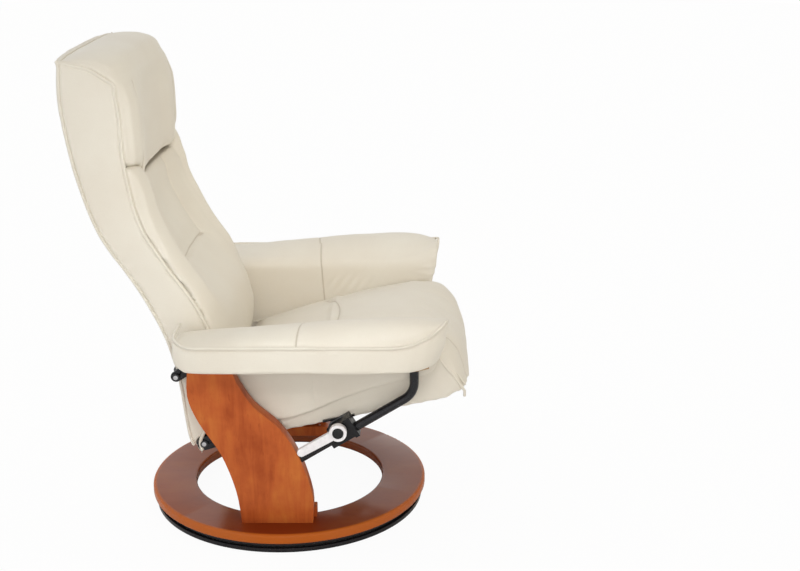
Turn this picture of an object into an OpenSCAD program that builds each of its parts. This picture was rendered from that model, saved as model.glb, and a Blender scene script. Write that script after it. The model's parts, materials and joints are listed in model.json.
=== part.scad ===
// Swivel recliner: padded back, seat and arms on two wooden legs and a turning ring.
// Millimetres. +X is the way the sitter faces, +Y is the sitter's left, +Z is up.
// The origin is on the floor, on the axis of the swivel.

/* [Turning ring] */
// Outer diameter of the wooden ring
ring_od = 620; // [600:5:660]
// Inner diameter of the wooden ring
ring_id = 424; // [400:2:440]
// Thickness of the wooden ring
ring_t = 22; // [20:1:28]
// Height of the ring's top above the floor
ring_top = 45; // [44:1:52]
// Radius of the ring's rounded edges
ring_round = 6; // [3:0.5:9]
// How far the black floor ring stands in from the wooden ring's edge
floor_ring_inset = 8; // [4:1:14]
// Width of the floor ring
floor_ring_w = 36; // [34:1:40]
// Diameter of the bearing balls
ball_d = 8; // [6:0.5:9]
// Number of bearing balls
ball_count = 24; // [12:1:36]
// Height that the floor pads stand out below the floor ring
pad_h = 1.5; // [1:0.25:3]
// Number of floor pads, and of the floor ring's notches
pad_count = 8; // [6:1:12]

/* [Legs] */
// Thickness of the leg planks
leg_t = 28; // [24:1:32]
// How far a leg's foot stands out past the side of the seat
leg_clear = 19.5; // [14:0.5:27]
// Outward lean of the legs, degrees
leg_lean = 6.67; // [6:0.1:8]
// Length of the cleat inside each foot
cleat_len = 130; // [90:5:150]
// Width and height of a cleat
cleat_w = 24; // [18:1:30]
// Outer diameter of the cross tube between the legs
stretcher_d = 25; // [19:1:32]
// Height of the cross tube's axis
stretcher_z = 165; // [140:1:185]

/* [Rails and mechanism] */
// Outer diameter of the bent rail tubes
rail_d = 19; // [16:0.5:19]
// Wall of the rail tubes
rail_wall = 1.5; // [1:0.25:2.5]
// Slope of the rails, degrees
rail_slope = 31.5; // [30:0.5:33]
// Radius of the rail's bend, to the tube's axis
rail_bend_r = 42; // [36:1:50]
// Where the upright end of the rail stands, forward of the swivel axis
rail_front = 282; // [276:1:288]
// Full angle of the recline, degrees
recline_max = 30; // [20:1:32]
// Distance from the recline pivot to the link pin
link_arm = 166; // [160:1:170]
// Length of the drag links, pin to pin
link_len = 60; // [56:1:64]
// Diameter of the pivot and link pins
pin_d = 10; // [8:0.5:12]
// Radius of the locking lever's hub
lever_hub_r = 18; // [14:0.5:20]
// Length of the locking lever, from its pivot to its end
lever_len = 96; // [80:1:98]
// Thickness of the locking lever
lever_t = 10; // [8:0.5:12]

/* [Arms] */
// Overall width over both arms
overall_w = 770; // [750:5:790]
// Height of the arms' underside
arm_under = 428; // [426:1:434]
// Height of the piping on the arms' outer side
arm_piping = 484; // [476:1:490]
// Height of the arms' highest point
arm_crest = 526; // [518:1:540]
// Forward reach of the arms
arm_front = 346; // [336:1:352]
// Thickness of the arms' plywood board
arm_board_t = 15; // [12:1:18]
// Thickness of the padded side panels that hang inside the arms
panel_t = 10.5; // [8:0.5:11]

/* [Seat] */
// Half of the width of the seat and of the lower back
seat_half = 234.5; // [228:0.5:235]
// Height of the seat's crown over its edges
seat_crown = 34; // [15:1:40]
// Swell of the seat at its upper front corner
seat_corner_swell = 52; // [40:1:60]
// How far the seat's front swells past its piping
seat_front_swell = 22; // [10:1:28]
// Thickness of the seat's side walls
seat_wall = 13.5; // [12:0.5:14]
// Depth of the frame space under the seat foam
seat_frame_space = 46; // [44:1:52]

/* [Back] */
// How far the upper back stands out past the side of the seat
back_flare = 13.5; // [6:0.5:21]
// Thickness of the back's padded shell
shell_wall = 12; // [8:0.5:13]
// Depth behind the foam in which the back's frame lies
back_frame_space = 44.5; // [43:0.5:48]
// Swell of the back's bolsters in front of the piping
bolster_swell = 40; // [20:1:42]
// Swell of the head pillow at its upper front
head_swell = 43; // [30:1:46]
// Swell of the head pillow over the top, at its rear
head_crown = 9; // [6:1:20]
// Half of the width of the back's centre panel
panel_half = 116; // [90:1:130]
// Depth of the channel round the back's centre panel
panel_channel = 9; // [3:0.5:14]

/* [Fits] */
// Radial clearance of pins and shafts that turn
run_fit = 0.05; // [0.02:0.01:0.08]
// Radial clearance of the clamp blocks on their rails
slide_fit = 0.08; // [0.04:0.01:0.1]
// Gap between padded pieces and what they lie against
soft_gap = 0.3; // [0.2:0.05:0.5]

/* [Hidden] */

$fn = 64;
leather = [0.88, 0.85, 0.78];
timber = [0.70, 0.36, 0.20];
black_steel = [0.12, 0.12, 0.14];
plywood = [0.80, 0.66, 0.46];
bright_steel = [0.75, 0.75, 0.78];

// Turning ring, from the floor up
ring_under = ring_top - ring_t;
race_gap = 3;
floor_ring_or = ring_od / 2 - floor_ring_inset;
floor_ring_ir = floor_ring_or - floor_ring_w;
floor_ring_top = ring_under - 10 - race_gap;
race_under = floor_ring_top + race_gap;
race_or = floor_ring_or - 4;
race_ir = floor_ring_ir + 2;
ball_r = ball_d / 2;
ball_z = (floor_ring_top + race_under) / 2;
ball_circle = (floor_ring_or + floor_ring_ir) / 2;
groove_r = ball_r + run_fit;
pad_r = 9;
pad_recess = 1.5;
notch_w = 2;
notch_turn = 248;
lip_w = 5;
lip_gap = 0.5;
keeper_wall = 5.5;
race_screw_circle = race_or - 4.5;
keeper_flange = 14;
keeper_screw_circle = floor_ring_ir - lip_gap - keeper_flange / 2 - 3.5;
ring_screw_r = 1.75;
ring_screw_head_r = 3;
ring_screw_len = 14;

// Legs. Points are [x, z] along the leg's rear and front edges, from the foot up.
leg_foot = seat_half + leg_clear;
leg_rear_points = [[-81, 45], [-90, 125], [-117, 213], [-158, 287], [-178, 350], [-172, 423]];
leg_front_points = [[69, 45], [70, 110], [46, 200], [7, 272], [-45, 324], [-78, 383], [-88, 423]];
leg_rise = tan(leg_lean);
leg_screw_x = [-58, -6, 46];
leg_screw_r = 3;
leg_screw_head_r = 6;
leg_screw_sink = 8;
leg_screw_reach = 36;
cleat_front = 76;
stretcher_x = -22;
plate_t = 5;
plate_half = 30;

// Rail line, in the plane |Y| = rail_y
rail_r = rail_d / 2;
rail_foot = [46, 196.5];
rail_sink = 24;
rail_dir = [cos(rail_slope), sin(rail_slope)];
rail_up = [-sin(rail_slope), cos(rail_slope)];
rail_y = leg_foot + 3.5;
rail_tangent = rail_bend_r * tan((90 - rail_slope) / 2);
rail_straight = (rail_front - rail_foot[0]) / rail_dir[0] - rail_tangent;
rail_corner_z = rail_foot[1] + (rail_front - rail_foot[0]) * tan(rail_slope);

// Recline pivot, link pin on the back, and the chord that the seat glides along
pivot = [-204, 377];
swing_start = rail_slope - recline_max / 2;
back_pin = pivot + link_arm * [sin(swing_start), -cos(swing_start)];
link_angle = 16;
seat_pin = back_pin + link_len * [cos(link_angle), sin(link_angle)];
sagitta = link_arm * (1 - cos(recline_max / 2));
pin_r = pin_d / 2;
pin_head_r = pin_r + 3;
pin_head_t = 3.4;

// Arms
arm_out = overall_w / 2;
arm_rear = -190;
arm_round = arm_rear + 55;
panel_in = seat_half + 2.5;
panel_out = panel_in + panel_t;
bar_t = 5;
bar_in = panel_out + 2;
bar_out = bar_in + 48;
bar_top = arm_under;
bar_under = bar_top - bar_t;
board_top = bar_top + arm_board_t;
board_rear = arm_rear + 19;
board_front = arm_front - 36;
panel_top = board_top + 25;
panel_rear = -150;
panel_front = arm_front - 14;
arm_low = bar_top - 1;
lug_in = bar_in + 3;
lug_t = 5;
lug_r = 11;
boss_r = pin_r + 3.5;
bolt_head_r = pin_r + 2.5;

// Seat. The underside rises forward at seat_slope from seat_rear_low.
seat_slope = 12.1;
seat_rear_low = [-80, 236];
seat_rear_rise = 12;
seat_front_low = 383;
seat_top_points = [[-95, 330], [0, 354], [100, 384], [200, 408], [285, 421], [331, 410]];
seat_front_points = [[331, 410], [347, 386], [366, 362], [383, 337]];
seat_in = seat_half - seat_wall;
seat_rail_t = 6;
seat_rail_out = seat_in - 1;
seat_rail_h = 38;
seat_cross_w = 20;
seat_cross_front = 400;
spring_wire = 3.5;

// Back. Points are [x, z, thickness] along the rear line of the back, from the tail up.
back_half = seat_half + back_flare;
back_points = [
    [-160, 194, 2], [-184, 222, 22], [-197, 285, 63], [-210, 372, 91], [-237, 467, 92],
    [-288, 570, 79], [-349, 671, 89], [-387, 789, 103], [-407, 895, 117], [-410.5, 950, 114],
    [-408.5, 983, 111], [-405, 1006, 72], [-404, 1013, 5]
];
back_end = len(back_points) - 1;
cushion_start = 2;
pillow_start = 6.88;
lower_stations = concat(
    [cushion_start, 2.15, 2.45, 2.8, 3.2, 3.6, 4, 4.3, 4.55, 4.66, 4.74, 4.82, 4.98, 5.25, 5.6, 5.95],
    [for (short = [0.63, 0.40, 0.22, 0.09, 0.04, 0.015]) pillow_start - short]);
upper_stations = concat(
    [for (past = [0, 0.03, 0.1, 0.25, 0.54, 0.92]) pillow_start + past],
    [8.25, 8.8, 9.4, 9.75, 9.95, 10.15, 10.4, 10.75, 11.1, 11.5, 11.8, back_end]);
frame_near = 15;
frame_far = 42;
back_board_t = 15;
hinge_plate_t = 5.5;
hinge_out = seat_half - shell_wall - 3;
board_y = hinge_out - hinge_plate_t;
link_in = seat_half - 7.5;
link_t = 5.5;
link_half = 15;
lug_clear = 3;

// Clamp block and lever, in rail coordinates: along the rail and square to it
clamp_at = 106;
stud_at = clamp_at - 2.5;
stud_up = 16;
stud_r = 4;
web_in = seat_half + 1.5;
web_t = 4;
clamp_in = web_in + web_t;
clamp_out = clamp_in + 33;
lever_in = clamp_out + 2.5;
lever_end_w = 17;
cap_r = 11.5;
cap_t = 5;

// Catmull-Rom curve through points p, at t counted in points
function at_point(p, i) = p[max(0, min(len(p) - 1, i))];
function curve_at(p, t) =
    let (i = min(floor(t), len(p) - 2), u = t - i,
         a = at_point(p, i - 1), b = at_point(p, i), c = at_point(p, i + 1), d = at_point(p, i + 2))
    0.5 * (2 * b + (c - a) * u + (2 * a - 5 * b + 4 * c - d) * u * u
           + (3 * b - a - 3 * c + d) * u * u * u);
function curve(p, steps) = [for (i = [0:steps]) curve_at(p, i * (len(p) - 1) / steps)];
function reversed(p) = [for (i = [len(p) - 1:-1:0]) p[i]];
function clamp01(v) = max(0, min(1, v));
function ease(v) = let (c = clamp01(v)) c * c * (3 - 2 * c);
function bump(v, width) = exp(-v * v / (width * width));

// Closed solid through rings of equal length. Each ring runs out along one line and
// back along another, so its two halves close each end as a strip.
module loft(rings) {
    n = len(rings[0]);
    m = len(rings);
    last = (m - 1) * n;
    polyhedron(
        points = [for (r = rings) each r],
        faces = concat(
            [for (i = [0:m - 2], j = [0:n - 1])
                let (a = i * n + j, b = i * n + (j + 1) % n) each [[a, a + n, b + n], [a, b + n, b]]],
            [for (j = [0:n / 2 - 2]) each [[j, j + 1, n - 2 - j], [j, n - 2 - j, n - 1 - j]]],
            [for (j = [0:n / 2 - 2])
                each [[last + j + 1, last + j, last + n - 2 - j],
                      [last + n - 2 - j, last + j, last + n - 1 - j]]]
        )
    );
}

module both_sides() {
    children();
    mirror([0, 1, 0]) children();
}

module left() {
    mirror([0, 1, 0]) children();
}

// Outline in the XZ plane, extruded over |Y| from near to far on the right side
module right_slab(near, far) {
    translate([0, -near, 0]) rotate([90, 0, 0]) linear_extrude(far - near) children();
}

// Cylinder along Y on the right side, at [x, z], over |Y| from near to far
module right_pin(at, r, near, far) {
    translate([at[0], -near, at[1]]) rotate([90, 0, 0]) cylinder(r = r, h = far - near);
}

module ring_copies(count, radius, start = 0) {
    for (i = [0:count - 1]) rotate([0, 0, start + i * 360 / count]) translate([radius, 0, 0]) children();
}

module rounded_profile(w, h, r) {
    translate([r, 0]) square([w - 2 * r, h]);
    translate([0, r]) square([w, h - 2 * r]);
    for (x = [r, w - r], y = [r, h - r]) translate([x, y]) circle(r = r);
}

// Base: the part that stays still on the floor
module floor_ring() {
    color(black_steel) difference() {
        rotate_extrude($fn = 128) difference() {
            translate([floor_ring_ir, pad_h]) square([floor_ring_w, floor_ring_top - pad_h]);
            translate([ball_circle, ball_z]) circle(r = groove_r);
            translate([floor_ring_ir - 1, 0]) square([lip_w + 1, (floor_ring_top + pad_h) / 2]);
        }
        ring_copies(pad_count, ball_circle)
            cylinder(r = pad_r + run_fit, h = pad_h + pad_recess);
        ring_copies(pad_count, floor_ring_or - 1, notch_turn)
            translate([0, -notch_w / 2, pad_h - 1]) cube([4, notch_w, floor_ring_top]);
    }
}

module floor_pads() {
    color([0.2, 0.2, 0.2]) ring_copies(pad_count, ball_circle) cylinder(r = pad_r, h = pad_h + pad_recess);
}

// Balls and their cage: they roll round at half the speed of the chair
module ball_cage() {
    cage_half = 8;
    cage_t = race_gap - 1.4;
    color([0.85, 0.85, 0.8]) difference() {
        rotate_extrude($fn = 128) translate([ball_circle - cage_half, ball_z - cage_t / 2])
            square([2 * cage_half, cage_t]);
        ring_copies(ball_count, ball_circle)
            translate([0, 0, ball_z - cage_t]) cylinder(r = ball_r + 0.2, h = 2 * cage_t);
    }
}

module bearing_balls() {
    color(bright_steel) ring_copies(ball_count, ball_circle) translate([0, 0, ball_z]) sphere(r = ball_r);
}

// Swivel frame
module upper_race() {
    color(black_steel) difference() {
        rotate_extrude($fn = 128) difference() {
            translate([race_ir, race_under]) square([race_or - race_ir, ring_under - race_under]);
            translate([ball_circle, ball_z]) circle(r = groove_r);
        }
        ring_copies(pad_count, race_screw_circle) translate([0, 0, race_under - 1]) {
            cylinder(r = ring_screw_r + run_fit, h = 20);
            cylinder(r = ring_screw_head_r + 0.3, h = 3);
        }
    }
}

module keeper_ring() {
    wall_or = floor_ring_ir - lip_gap;
    lip_top = (floor_ring_top + pad_h) / 2 - lip_gap;
    flange_in = wall_or - keeper_flange;
    color(black_steel) difference() {
        rotate_extrude($fn = 128) {
            translate([wall_or - keeper_wall, lip_top - 2.5])
                square([keeper_wall, ring_under - lip_top + 2.5]);
            translate([wall_or - keeper_wall, lip_top - 2.5]) square([keeper_wall + lip_w, 2.5]);
            translate([flange_in, ring_under - 2.5]) square([keeper_flange, 2.5]);
        }
        ring_copies(pad_count, keeper_screw_circle, 22)
            translate([0, 0, ring_under - 4]) cylinder(r = ring_screw_r + run_fit, h = 6);
    }
}

module ring_screw(under) {
    translate([0, 0, under]) {
        cylinder(r = ring_screw_head_r, h = 2);
        cylinder(r = ring_screw_r, h = ring_screw_len);
    }
}

module ring_screws() {
    color(bright_steel) {
        ring_copies(pad_count, race_screw_circle) ring_screw(race_under);
        ring_copies(pad_count, keeper_screw_circle, 22) ring_screw(ring_under - 2.5 - 2);
    }
}

module wood_ring() {
    color(timber) difference() {
        rotate_extrude($fn = 160) translate([ring_id / 2, ring_under])
            rounded_profile((ring_od - ring_id) / 2, ring_t, ring_round);
        ring_copies(pad_count, race_screw_circle)
            translate([0, 0, ring_under - 1]) cylinder(r = ring_screw_r + run_fit, h = ring_screw_len - 8);
        ring_copies(pad_count, keeper_screw_circle, 22)
            translate([0, 0, ring_under - 1]) cylinder(r = ring_screw_r + run_fit, h = ring_screw_len - 2);
        both_sides() leg_screw_places() translate([0, 0, ring_under - 1]) {
            cylinder(r = leg_screw_r + run_fit, h = ring_t + 2);
            cylinder(r = leg_screw_head_r + 0.3, h = leg_screw_sink + 1);
        }
        both_sides() cleat_screw_places()
            translate([0, 0, ring_top - 14.5]) cylinder(r = ring_screw_r + run_fit, h = 20);
    }
}

// Leg frame: origin on the outer bottom edge of the right leg, Y running inward
module in_right_leg() {
    translate([0, -leg_foot, ring_top]) rotate([leg_lean, 0, 0]) children();
}

module leg_screw_places() {
    for (x = leg_screw_x) translate([x, leg_t / 2 - leg_foot, 0]) children();
}

module cleat_screw_places() {
    for (x = [cleat_front - cleat_len + 20, cleat_front - 20])
        translate([x, leg_t + cleat_w / 2 - leg_foot, 0]) children();
}

function leg_outline() =
    let (rear = curve(leg_rear_points, 20), front = curve(leg_front_points, 24))
    concat([[rear[0][0] - 3, ring_top - 20]], rear, [[rear[20][0], bar_top + 10]],
           [[front[24][0], bar_top + 10]], reversed(front), [[front[0][0], ring_top - 20]]);

module right_leg() {
    color(timber) difference() {
        intersection() {
            in_right_leg() translate([0, leg_t, -ring_top]) rotate([90, 0, 0])
                linear_extrude(leg_t) polygon(leg_outline());
            translate([-400, -400, ring_top]) cube([800, 400, bar_under - ring_top]);
        }
        leg_screw_places() translate([0, 0, ring_top - 1])
            cylinder(r = leg_screw_r + run_fit, h = leg_screw_reach - ring_t + leg_screw_sink + 2);
        rail_frame(-rail_sink) cylinder(r = rail_r + run_fit, h = 2 * rail_sink);
        stretcher_bolt_places() cylinder(r = stud_r + run_fit, h = 18 + plate_t);
        for (x = leg_top_screw_x) translate([x, -leg_top_screw_y, bar_under - 32])
            cylinder(r = leg_screw_r + run_fit, h = 40);
    }
}

module right_leg_cleat() {
    foot_in = leg_foot - leg_t / cos(leg_lean) - 0.05;
    color(timber) difference() {
        translate([cleat_front - cleat_len, 0, 0]) rotate([90, 0, 90]) linear_extrude(cleat_len)
            polygon([[-foot_in, ring_top], [-foot_in - cleat_w * leg_rise, ring_top + cleat_w],
                     [cleat_w - foot_in, ring_top + cleat_w], [cleat_w - foot_in, ring_top]]);
        cleat_screw_places() translate([0, 0, ring_top - 1]) cylinder(r = ring_screw_r + run_fit, h = 40);
    }
}

module leg_screws() {
    color(bright_steel) both_sides() {
        leg_screw_places() translate([0, 0, ring_under + leg_screw_sink - 4]) {
            cylinder(r = leg_screw_head_r, h = 4);
            cylinder(r = leg_screw_r, h = leg_screw_reach);
        }
        cleat_screw_places() translate([0, 0, ring_top - 14]) {
            cylinder(r = ring_screw_r, h = cleat_w + 14);
            translate([0, 0, cleat_w + 14]) cylinder(r = ring_screw_head_r, h = 2);
        }
    }
}

// Cross tube between the legs, bolted on through two end plates
module stretcher_bolt_places() {
    rise = (stretcher_z - ring_top) / cos(leg_lean);
    for (side = [-1, 1])
        in_right_leg() translate([stretcher_x + side * plate_half * 0.7, leg_t + plate_t, rise])
            rotate([90, 0, 0]) children();
}

module stretcher_plate() {
    rise = (stretcher_z - ring_top) / cos(leg_lean);
    difference() {
        in_right_leg() translate([stretcher_x - plate_half, leg_t, rise - 20])
            cube([2 * plate_half, plate_t, 40]);
        stretcher_bolt_places() translate([0, 0, -1]) cylinder(r = stud_r + run_fit, h = plate_t + 2);
    }
}

module stretcher_plates() {
    color(black_steel) both_sides() stretcher_plate();
}

module stretcher_tube() {
    color(black_steel) difference() {
        translate([stretcher_x, leg_foot, stretcher_z]) rotate([90, 0, 0]) difference() {
            cylinder(r = stretcher_d / 2, h = 2 * leg_foot);
            translate([0, 0, -1]) cylinder(r = stretcher_d / 2 - 2, h = 2 * leg_foot + 2);
        }
        both_sides() in_right_leg() translate([-200, -100, 0]) cube([400, 100 + leg_t + plate_t, 400]);
    }
}

module stretcher_bolts() {
    color(bright_steel) both_sides() stretcher_bolt_places() {
        translate([0, 0, -5]) cylinder(r = stud_r + 2.5, h = 5);
        cylinder(r = stud_r, h = plate_t + 17);
    }
}

// Rail coordinates on the right side: Z along the rail from its foot, X square to it and down
module rail_frame(along) {
    translate([rail_foot[0], -rail_y, rail_foot[1]]) rotate([0, 90 - rail_slope, 0])
        translate([0, 0, along]) children();
}

module tube_profile(r, wall) {
    difference() {
        circle(r = r);
        circle(r = r - wall);
    }
}

module right_rail() {
    flange_t = 4;
    lap = 0.6;
    bend_step = 0.05;
    bend_z = rail_corner_z + rail_tangent;
    color(black_steel) {
        rail_frame(-rail_sink) linear_extrude(rail_sink + rail_straight + lap)
            tube_profile(rail_r, rail_wall);
        translate([rail_front - rail_bend_r, -rail_y, bend_z]) rotate([90, 0, 0])
            rotate([0, 0, rail_slope - 90])
                rotate_extrude(angle = 90 - rail_slope) translate([rail_bend_r, 0])
                    tube_profile(rail_r - bend_step, rail_wall - 2 * bend_step);
        translate([rail_front, -rail_y, bend_z - lap])
            linear_extrude(bar_under - flange_t + 2 * lap - bend_z) tube_profile(rail_r, rail_wall);
        translate([rail_front - 17, -rail_y - 14, bar_under - flange_t]) cube([36, 23, flange_t]);
    }
}

// Arm bars: flat steel under each arm board, with the lug of the recline pivot at the rear
leg_top_screw_x = [-150, -112];
leg_top_screw_y = bar_in + 30.5;
arm_screw_x = [-60, 60, 180, 262];

module right_arm_bar() {
    bar_front = rail_front + 26;
    color(black_steel) difference() {
        union() {
            translate([board_rear + 6, -bar_out, bar_under])
                cube([bar_front - board_rear - 6, bar_out - bar_in, bar_t]);
            right_slab(lug_in, lug_in + lug_t) {
                translate(pivot) circle(r = lug_r);
                polygon([pivot + [-lug_r * 0.9, lug_r * 0.43], [board_rear + 6, bar_under + 1],
                         [board_rear + 50, bar_under + 1], [board_rear + 50, bar_under - 9],
                         pivot + [lug_r * 0.55, -lug_r * 0.83]]);
            }
        }
        right_pin(pivot, pin_r + run_fit, lug_in - 1, lug_in + lug_t + 1);
        for (x = leg_top_screw_x) translate([x, -leg_top_screw_y, bar_under - 1]) {
            cylinder(r = leg_screw_r + run_fit, h = bar_t + 2);
            translate([0, 0, bar_t - 2]) cylinder(r = leg_screw_head_r, h = 4);
        }
        for (x = arm_screw_x) translate([x, -bar_out + 12, bar_under - 1])
            cylinder(r = ring_screw_r + run_fit, h = bar_t + 2);
    }
}

module arm_bar_screws() {
    color(bright_steel) both_sides() {
        for (x = leg_top_screw_x) translate([x, -leg_top_screw_y, bar_under - 30]) {
            cylinder(r = leg_screw_r, h = 30 + bar_t - 0.2);
            translate([0, 0, 30 + bar_t - 2.5]) cylinder(r = leg_screw_head_r - 0.3, h = 2.3);
        }
        for (x = arm_screw_x) translate([x, -bar_out + 12, bar_under - 2]) {
            cylinder(r = ring_screw_head_r, h = 2);
            cylinder(r = ring_screw_r, h = bar_t + 12);
        }
    }
}

function arm_outer(x) =
    x < arm_round ? arm_out - 40 * (1 - sqrt(1 - pow((arm_round - x) / 60, 2)))
    : x > 235 ? arm_out - 95 * (1 - sqrt(max(0, 1 - pow((x - 235) / (arm_front - 233), 2))))
    : arm_out;
function arm_inner(x) =
    seat_half + 2 + 14 * ease((x - arm_front + 22) / 24) + 10 * ease((arm_rear + 20 - x) / 20);

// Plan of an arm board: the arm's own plan, drawn in
module board_plan() {
    steps = 24;
    polygon(concat(
        [for (i = [0:steps]) let (x = board_rear + (board_front - board_rear) * i / steps)
            [x, -arm_outer(x + 6 * (i - steps / 2) / steps) + 13]],
        [[board_front, -panel_out - 0.2], [board_rear, -panel_out - 0.2]]));
}

module right_arm_board() {
    color(plywood) difference() {
        translate([0, 0, bar_top]) linear_extrude(arm_board_t) board_plan();
        for (x = arm_screw_x) translate([x, -bar_out + 12, bar_top - 1])
            cylinder(r = ring_screw_r + run_fit, h = 12);
    }
}

// One ring of the arm cushion in the plane X = x: up the outer side and over the crest to
// the inner side, then back along the flat underside
function arm_ring(x) =
    let (yo = arm_outer(x), yi = arm_inner(x), k = 5,
         high = arm_crest - 43 * pow(clamp01((260 - x) / 460), 1.55) - 11 * ease((x - 300) / 46),
         foot = arm_low + 14 * ease((arm_rear + 22 - x) / 22), back_lean = 16 * ease((x - 250) / 96),
         pipe = arm_piping + 30 * ease((x - 262) / 78) + 8 * ease((arm_rear + 35 - x) / 35),
         yc = yi + (yo - yi) * 0.67, low = 462, wide = yo - yi,
         out = concat(
            [[x, -yo + 5, foot], [x, -yo, foot + 5], [x, -yo - 0.5, (foot + pipe) / 2]],
            [for (i = [0:k]) let (a = 90 * i / k)
                [x, -yc - (yo - yc) * cos(a), pipe + (high - pipe) * sin(a)]],
            [for (i = [1:k]) let (a = 90 * i / k)
                [x, -yc + (yc - yi) * sin(a), low + (high - low) * cos(a)]],
            [[x, -yi, foot]]),
         n = len(out) - 1,
         ring = concat(out, reversed([for (i = [0:n])
             [x, -yo + 5 + (wide - 5) * (0.02 + 0.96 * i / n), foot - 0.01]])))
    [for (p = ring) [p[0] - back_lean * clamp01((472 - p[2]) / 45), p[1], p[2]]];

module right_arm_cushion() {
    stations = concat([arm_rear, arm_rear + 4, arm_rear + 12, arm_rear + 26, arm_round],
                      [for (i = [1:7]) arm_round + (235 - arm_round) * i / 7],
                      [for (a = [20:17:71]) 235 + (arm_front - 235) * sin(a)], [arm_front]);
    color(leather) difference() {
        loft([for (x = reversed(stations)) arm_ring(x)]);
        translate([0, 0, arm_low - 2]) linear_extrude(board_top + soft_gap - arm_low + 2)
            offset(delta = soft_gap) board_plan();
        translate([panel_rear - 1, -panel_out - soft_gap, arm_low - 2])
            cube([panel_front - panel_rear + 2, panel_out, panel_top + soft_gap - arm_low + 2]);
        translate([board_rear, -bar_out, arm_low - 2]) cube([60, bar_out - panel_in, 20]);
    }
}

// Padded panel inside each arm, hiding the gap over the seat
module right_side_panel() {
    lower = curve([[panel_rear, 300], [-118, 270], [26, 281], [155, 330], [243, 359],
                   [295, 370], [316, 377], [panel_front - 3, 390], [panel_front, 410]], 40);
    color(leather) right_slab(panel_in, panel_out)
        polygon(concat(lower, [[panel_front, panel_top], [panel_rear, panel_top]]));
}

module pivot_bolts() {
    color(bright_steel) both_sides() {
        right_pin(pivot, pin_r, board_y - 4, lug_in + lug_t + 1);
        right_pin(pivot, bolt_head_r, lug_in + lug_t, lug_in + lug_t + 6);
    }
}

// Back. A place on it is t along the rear line, d forward of it and y across.
function back_at(t) = curve_at(back_points, t);
function back_tangent(t) =
    let (a = back_at(max(0, t - 0.02)), b = back_at(min(back_end, t + 0.02)),
         v = [b[0] - a[0], b[1] - a[1]])
    v / norm(v);
function back_normal(t) = let (v = back_tangent(t)) [v[1], -v[0]];
function back_place(t, d) = let (p = back_at(t), n = back_normal(t)) [p[0] + n[0] * d, p[1] + n[1] * d];
function back_wide(t) = seat_half + (back_half - seat_half) * ease((back_at(t)[1] - 520) / 120);
function piping_at(t) = back_place(t, back_at(t)[2]);
function piping_normal(t) =
    let (a = piping_at(max(0, t - 0.03)), b = piping_at(min(back_end, t + 0.03)), v = b - a)
    [v[1], -v[0]] / norm(v);
function wall_at(t) = min(shell_wall, 0.4 * back_at(t)[2]);

// Shell: two side walls and the rear wall, open to the front
function shell_ring(t) =
    let (w = back_wide(t), depth = back_at(t)[2], wall = wall_at(t), crown = 8 * ease((t - 2) / 3),
         lateral = [-0.92, -0.5, 0, 0.5, 0.92],
         outer = concat(
            [[-w, depth], [-w, 0.55 * depth], [-w, 0.12 * depth]],
            [for (f = lateral) [f * w, -crown * (1 - f * f)]],
            [[w, 0.12 * depth], [w, 0.55 * depth], [w, depth]]),
         inner = concat(
            [[-w + shell_wall, depth], [-w + shell_wall, 0.58 * depth],
             [-w + shell_wall, wall + 0.02 * depth]],
            [for (f = lateral) [f * (w - shell_wall), wall - crown * (1 - f * f)]],
            [[w - shell_wall, wall + 0.02 * depth], [w - shell_wall, 0.58 * depth],
             [w - shell_wall, depth]]))
    [for (p = concat(outer, reversed(inner))) let (q = back_place(t, p[1])) [q[0], p[0], q[1]]];

module back_shell() {
    stations = concat([0, 0.5, 1, 1.5], lower_stations, upper_stations);
    color(leather) difference() {
        loft([for (t = reversed(stations)) shell_ring(t)]);
        both_sides() {
            right_pin(pivot, boss_r + lug_clear, hinge_out, back_half);
            right_pin(pivot, lug_r + 5, board_y - 6, hinge_out + 1.5);
            right_pin(back_pin, link_half + lug_clear, board_y - 6, back_half);
        }
    }
}

// Places across a padded piece: [share of the half width, millimetres added, over the side wall]
function across_list(n) = concat(
    [[-1, 0.4, true], [-1, 3, true], [-1, 8, true], [-1, shell_wall, true]],
    [[-1, shell_wall + soft_gap, false]],
    [for (i = [1:n - 1]) [-0.92 + 1.84 * i / n, 0, false]],
    [[1, -shell_wall - soft_gap, false]],
    [[1, -shell_wall, true], [1, -8, true], [1, -3, true], [1, -0.4, true]]);

function front_swell(t, y, w) =
    let (s = abs(y) / w, body = sqrt(max(0, 1 - pow(s, 6))), over = ease((t - 9.2) / 1.6),
         amount = lookup(t, [[2, bolster_swell - 18], [2.55, bolster_swell - 15], [3.2, bolster_swell],
                             [8, bolster_swell + 2], [9, head_swell - 1], [9.6, head_swell - 5],
                             [10, head_swell - 10], [10.3, head_swell - 2], [10.7, head_swell],
                             [11, head_swell - 8], [11.5, head_swell - 21], [back_end, head_crown]]),
         panel = bump(abs(y) - panel_half, 13) * ease((t - 4.6) / 0.5) * (1 - ease((t - 6.6) / 0.6)),
         bottom = bump(t - 4.73, 0.09) * (abs(y) < panel_half ? 1 : 0),
         deep = lookup(t, [[3, 0], [4.5, 12], [5.2, 17], [6.5, 17], [7, 12]]),
         hollow = deep * bump(y, 130) * (1 - over))
    1 + amount * body - panel_channel * max(panel, bottom) - hollow;

function under_depth(t) = min(back_frame_space, 0.62 * back_at(t)[2]);
function frame_reach(t) = min(frame_far, under_depth(t) - 1.2);

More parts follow.
